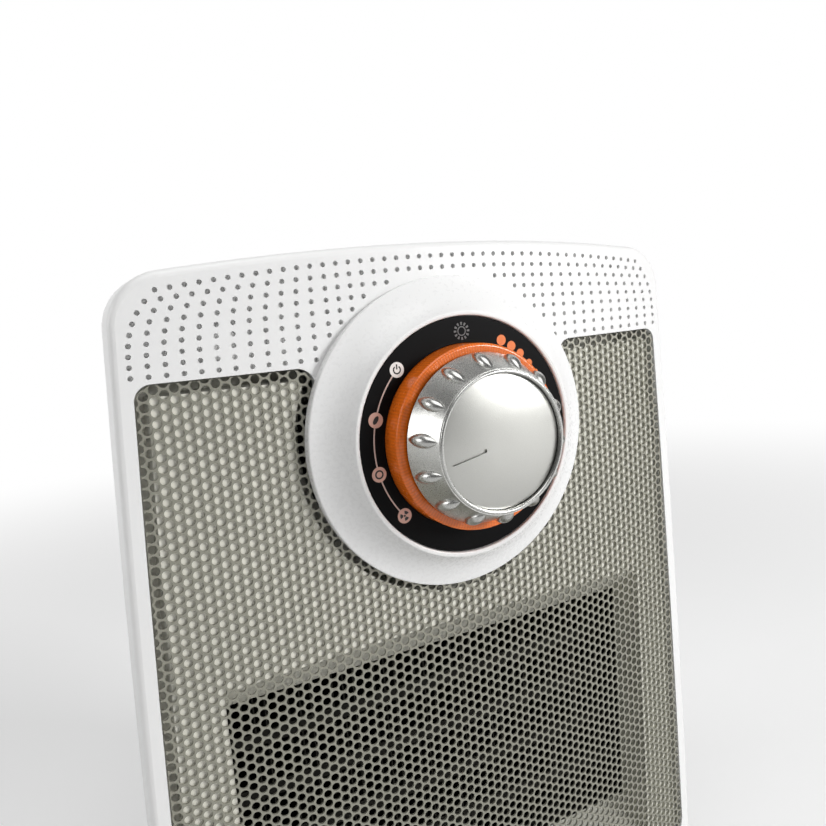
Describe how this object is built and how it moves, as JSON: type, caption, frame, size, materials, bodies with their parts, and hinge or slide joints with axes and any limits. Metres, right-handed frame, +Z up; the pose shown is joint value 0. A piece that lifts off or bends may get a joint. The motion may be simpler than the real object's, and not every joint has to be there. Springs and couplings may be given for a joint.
{
  "type": "fan heater",
  "caption": "Compact ceramic fan heater with a perforated metal front, a raised dial with a silver knob with raised grips, a lit ring and a rear air intake.",
  "frame": {"origin": "on the floor plane, under the centre of the whole object's bounding box", "axes": "+Z up, the front with the dial faces -Y, +X to the right when seen from the front"},
  "size_m": [0.2026, 0.1672, 0.272],
  "materials": {
    "panel_white": "white moulded plastic, semi-gloss",
    "bezel_white": "white moulded plastic, glossy",
    "mesh_metal": "warm grey satin paint on perforated steel",
    "baffle_plastic": "grey-green matte heat-resistant plastic",
    "dial_black": "black gloss with printed marks",
    "light_orange": "orange translucent plastic",
    "knob_silver": "satin silver plating",
    "cap_silver": "satin silver plating, fine sheen",
    "shaft_brass": "turned brass",
    "switch_plastic": "black matte plastic",
    "zinc_steel": "zinc plated steel",
    "thermostat_steel": "plain steel cup",
    "lamp_glass": "tinted glass tube",
    "frame_plastic": "black heat-resistant plastic",
    "fin_aluminium": "thin plain aluminium",
    "bar_aluminium": "plain aluminium channel",
    "terminal_brass": "bare brass tab",
    "cutout_steel": "plated steel cap",
    "duct_plastic": "dark grey matte plastic",
    "fan_plastic": "black matte plastic",
    "clip_steel": "spring steel",
    "shaft_steel": "ground steel",
    "mount_plastic": "dark grey matte plastic",
    "bracket_steel": "zinc plated pressed steel",
    "core_steel": "laminated steel with visible layers",
    "coil_tape": "amber insulating tape over the winding",
    "rotor_steel": "laminated steel",
    "housing_white": "white moulded plastic, satin",
    "grille_white": "white moulded plastic, satin",
    "filter_cloth": "grey filter cloth in a thin frame",
    "base_white": "white moulded plastic, satin",
    "foot_rubber": "black rubber",
    "plunger_plastic": "red matte plastic",
    "gland_rubber": "pale grey moulded rubber",
    "block_plastic": "natural white plastic"
  },
  "bodies": {
    "casing": {"front_panel": "panel_white", "bezel_ring": "bezel_white", "mesh_grille": "mesh_metal", "baffle": "baffle_plastic", "dial_disc": "dial_black", "light_ring": "light_orange", "selector_switch": "switch_plastic", "switch_nut": "zinc_steel", "thermostat": "thermostat_steel", "indicator_lamp": "lamp_glass", "baffle_screws": "zinc_steel", "heater_frame": "frame_plastic", "heater_screws": "zinc_steel", "heater_fins": "fin_aluminium", "ptc_bars": "bar_aluminium", "heater_terminals": "terminal_brass", "thermal_cutout": "cutout_steel", "fan_duct": "duct_plastic", "motor_mount": "mount_plastic", "motor_front_bracket": "bracket_steel", "motor_rear_bracket": "bracket_steel", "motor_core": "core_steel", "motor_coil": "coil_tape", "motor_screws": "zinc_steel", "rear_housing": "housing_white", "housing_screws": "zinc_steel", "rear_grille": "grille_white", "dust_filter": "filter_cloth", "base": "base_white", "base_screws": "zinc_steel", "rubber_feet": "foot_rubber", "tip_switch_body": "switch_plastic", "cord_gland": "gland_rubber", "terminal_block": "block_plastic"},
    "knob": {"knob_body": "knob_silver", "knob_cap": "cap_silver", "control_shaft": "shaft_brass"},
    "fan": {"fan_wheel": "fan_plastic", "fan_clip": "clip_steel", "motor_shaft": "shaft_steel", "motor_rotor": "rotor_steel"},
    "plunger": {"tip_switch_plunger": "plunger_plastic"}
  },
  "joints": [
    {"name": "knob_turn", "type": "hinge", "parent": "casing", "child": "knob", "pos_m": [0, -0.05638, 0.215], "axis": [0, 1, 0], "range_deg": [-28, 193]},
    {"name": "fan_spin", "type": "hinge", "parent": "casing", "child": "fan", "pos_m": [0, -0.05638, 0.0976], "axis": [0, 1, 0], "continuous": true},
    {"name": "tip_plunge", "type": "slide", "parent": "casing", "child": "plunger", "axis": [0, 0, -1], "range_m": [0, 0.004], "stiffness_N_per_m": 100, "springref_m": 0.01}
  ]
}
